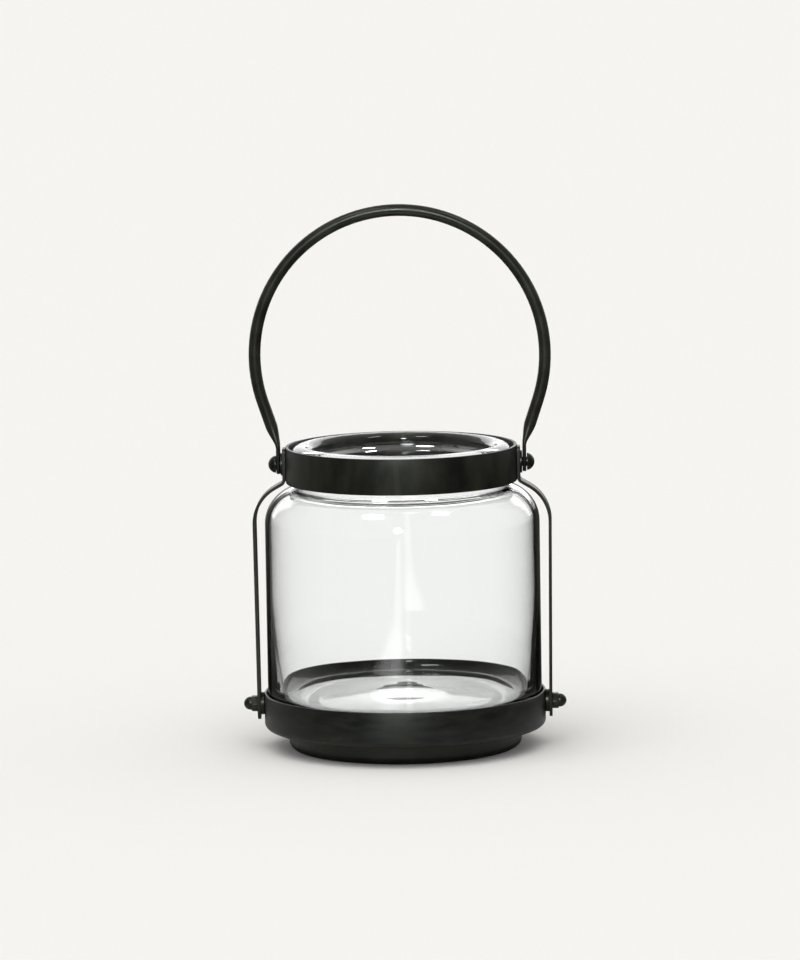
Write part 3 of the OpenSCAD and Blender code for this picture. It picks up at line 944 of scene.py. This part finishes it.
deselect_all()
bpy.ops.mesh.primitive_plane_add(size=floor_size, location=(0, 0, 0))
floor = bpy.context.object
floor.name = "floor"
floor_material, floor_output, floor_place = new_material("pale_floor_painted_glow_and_reflection")
axes = add_node(floor_material, "ShaderNodeSeparateXYZ", {"Vector": floor_place})
away = add_node(floor_material, "ShaderNodeVectorMath", {0: floor_place},
                operation="LENGTH").outputs["Value"]
# Painted reflection: beyond a small circle round the lantern, thrown-back rays see the floor
# painted dark grey, lighter grey at the left rear, so iron and glass reflect painted shade. The
# camera sees the plain pale floor there.
left_rear = times(
    floor_material, soft_step(floor_material, axes.outputs["X"], grey_patch_x_from, grey_patch_x_full),
    soft_step(floor_material, axes.outputs["Y"], grey_patch_y_from, grey_patch_y_full))
painted_reflection_colour = ramp(floor_material, left_rear, 0.0, 1.0, dark_grey_painted_reflection, light_grey_painted_reflection)
painted_reflection_mask = times(floor_material, soft_step(floor_material, away, painted_reflection_from, painted_reflection_full),
                thrown_back(floor_material))
floor_or_painted_reflection = add_node(floor_material, "ShaderNodeMix",
                 {"Factor": painted_reflection_mask, "A": background, "B": painted_reflection_colour}, data_type="RGBA")
# The floor's shader: a pale floor to the eye, with the painted reflection and the painted glow on
# it.
floor_shader = add_node(floor_material, "ShaderNodeBsdfPrincipled",
                 {"Base Color": floor_or_painted_reflection.outputs["Result"], "Roughness": 0.9,
                  "Specular IOR Level": 0.0,
                  "Emission Color": hex_colour("e6edff"),
                  "Emission Strength": through_glass(floor_material, glow_through_glass)})
floor_material.node_tree.links.new(floor_shader.outputs["BSDF"], floor_output.inputs["Surface"])
floor.data.materials.append(floor_material)
floor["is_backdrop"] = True
print("floor laid")

# %% Light the world
ambient = 0.75
gloom_in_front, gloom_behind = 0.12, 0.5
behind_from, behind_full = -0.2, 0.6

world = bpy.data.worlds.new("studio")
bpy.context.scene.world = world
world.use_nodes = True
world.node_tree.nodes.clear()
sky_output = add_node(world, "ShaderNodeOutputWorld")
ray = add_node(world, "ShaderNodeLightPath")
seen = add_node(world, "ShaderNodeMath", {0: ray.outputs["Is Camera Ray"],
                                          1: ray.outputs["Is Transmission Ray"]},
                operation="MAXIMUM")
seen = add_node(world, "ShaderNodeMath", {0: seen.outputs["Value"],
                                          1: ray.outputs["Is Glossy Ray"]},
                operation="MAXIMUM")
level = add_node(world, "ShaderNodeMapRange",
                 {"Value": seen.outputs["Value"], "To Min": ambient, "To Max": 1.0})
heading = add_node(world, "ShaderNodeSeparateXYZ",
                   {"Vector": add_node(world, "ShaderNodeTexCoord").outputs["Generated"]})
behind = soft_step(world, heading.outputs["Y"], behind_from, behind_full)
gloom = add_node(world, "ShaderNodeMapRange",
                 {"Value": behind, "To Min": gloom_in_front, "To Max": gloom_behind})
shade = add_node(world, "ShaderNodeMix", {"Factor": thrown_back(world), "A": 1.0,
                                          "B": gloom.outputs["Result"]}, data_type="FLOAT")
strength = times(world, level.outputs["Result"], shade.outputs["Result"])
sky = add_node(world, "ShaderNodeBackground", {"Color": background, "Strength": strength})
world.node_tree.links.new(sky.outputs["Background"], sky_output.inputs["Surface"])
print("world lit")

# %% Hang the lamps
deselect_all()
bpy.ops.object.light_add(type="SUN", location=(-0.6, -2.0, 2.4),
                         rotation=(math.radians(24), 0, math.radians(-14)))
sun = bpy.context.object
sun.name = "overhead_softbox"
sun.data.energy = 1.12
sun.data.angle = math.radians(60)
sun.visible_glossy = False
sun.visible_transmission = False


def softbox(name, place, target_height, width, height, power):
    """A lamp turned to the lantern's axis at a target height, for highlights alone."""
    x, y, z = place
    tilt = math.atan2(math.hypot(x, y), z - target_height)
    deselect_all()
    bpy.ops.object.light_add(type="AREA", location=place,
                             rotation=(tilt, 0, math.atan2(-x, y) + math.pi))
    box = bpy.context.object
    box.name = name
    box.data.shape = "ELLIPSE"
    box.data.size = width
    box.data.size_y = height
    box.data.energy = power
    box.visible_camera = False
    box.visible_diffuse = False


softbox("front_softbox", place=(-0.1, -2.4, 1.05), target_height=0.12,
        width=0.3, height=0.8, power=30)
softbox("left_top_softbox", place=(-0.45, -0.5, 1.5), target_height=0.16,
        width=0.35, height=0.4, power=3)
softbox("right_top_softbox", place=(0.55, -0.2, 1.5), target_height=0.16,
        width=0.2, height=0.3, power=1.5)
print("lamps hung")

# %% Set up the lit cards
def lit_card(name, material, place, width, height, tilt):
    """A flat card that gives light to glass and metal alone and that the camera can't see."""
    deselect_all()
    bpy.ops.mesh.primitive_plane_add(size=1, location=place,
                                     rotation=(math.radians(tilt), 0, 0))
    card = bpy.context.object
    card.name = name
    card.scale = (width, height, 1)
    card.data.materials.append(material)
    card.visible_camera = False
    card.visible_diffuse = False
    card.visible_shadow = False
    card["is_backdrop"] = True


def glowing(name, strength):
    """A white surface that gives light."""
    material, output, _ = new_material(name)
    glow = add_node(material, "ShaderNodeEmission",
                    {"Color": hex_colour("ffffff"), "Strength": strength})
    material.node_tree.links.new(glow.outputs["Emission"], output.inputs["Surface"])
    return material


lit_card("backdrop_card", glowing("white_lit_card", strength=2.0), place=(0, 14, 5.2),
         width=24, height=8, tilt=90)

strip_dim, strip_bright = 0.9, 3.2
bright_from, bright_full = 0.33, 0.48
edge_from, edge_full = 0.5, 0.1
strip_material = glowing("bright_strip_card", strength=1.0)
strip_glow = strip_material.node_tree.nodes["Emission"]
strip_place = add_node(strip_material, "ShaderNodeTexCoord").outputs["Object"]
strip_axes = add_node(strip_material, "ShaderNodeSeparateXYZ", {"Vector": strip_place})
off_centre = add_node(strip_material, "ShaderNodeMath", {0: strip_axes.outputs["X"]},
                      operation="ABSOLUTE").outputs["Value"]
near_end = add_node(strip_material, "ShaderNodeMapRange",
                    {"Value": strip_axes.outputs["Y"],
                     "From Min": bright_from, "From Max": bright_full,
                     "To Min": strip_dim, "To Max": strip_bright}).outputs["Result"]
strip_material.node_tree.links.new(
    times(strip_material, soft_step(strip_material, off_centre, edge_from, edge_full), near_end),
    strip_glow.inputs["Strength"])
lit_card("strip_card", strip_material, place=(-0.03, -0.92, 0.002),
         width=0.1, height=1.5, tilt=0)
print("cards set up")

# %% [markdown]
# ## Camera
# A long lens, some three metres away and a little above the lantern, sees it almost square on.
# The camera is turned two degrees round the lantern and rolled by less than one degree.

# %% Set the camera
azimuth = math.radians(1.942)
elevation = math.radians(7.388)
roll = math.radians(0.918)
distance = 3.1556
look_at = Vector((0, 0, 0.145))

back = Vector((math.sin(azimuth) * math.cos(elevation),
               -math.cos(azimuth) * math.cos(elevation), math.sin(elevation)))
right = Vector((math.cos(azimuth), math.sin(azimuth), 0))
up = back.cross(right)
turned_right = right * math.cos(roll) - up * math.sin(roll)
turned_up = up * math.cos(roll) + right * math.sin(roll)

deselect_all()
bpy.ops.object.camera_add(location=look_at + back * distance)
camera = bpy.context.object
camera.rotation_euler = Matrix((turned_right, turned_up, back)).transposed().to_euler()
camera.data.lens = 222.83
camera.data.sensor_width = 36
camera.data.shift_x = -0.0016
camera.data.shift_y = -0.0044
camera.data.clip_start = 0.1
camera.data.clip_end = 100
bpy.context.scene.camera = camera
bpy.context.scene.view_settings.view_transform = "Standard"
print("camera set at", [round(v, 3) for v in camera.location])

# %% [markdown]
# ## Measured and new sizes
# The new pieces are meant to fill the same box as the measured model, so both boxes are printed
# side by side.

# %% Print both boxes
low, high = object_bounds()
for axis, *ends in zip("xyz", cad_low, low, cad_high, high):
    print(axis, "measured and new, low then high:", [round(end, 5) for end in ends])
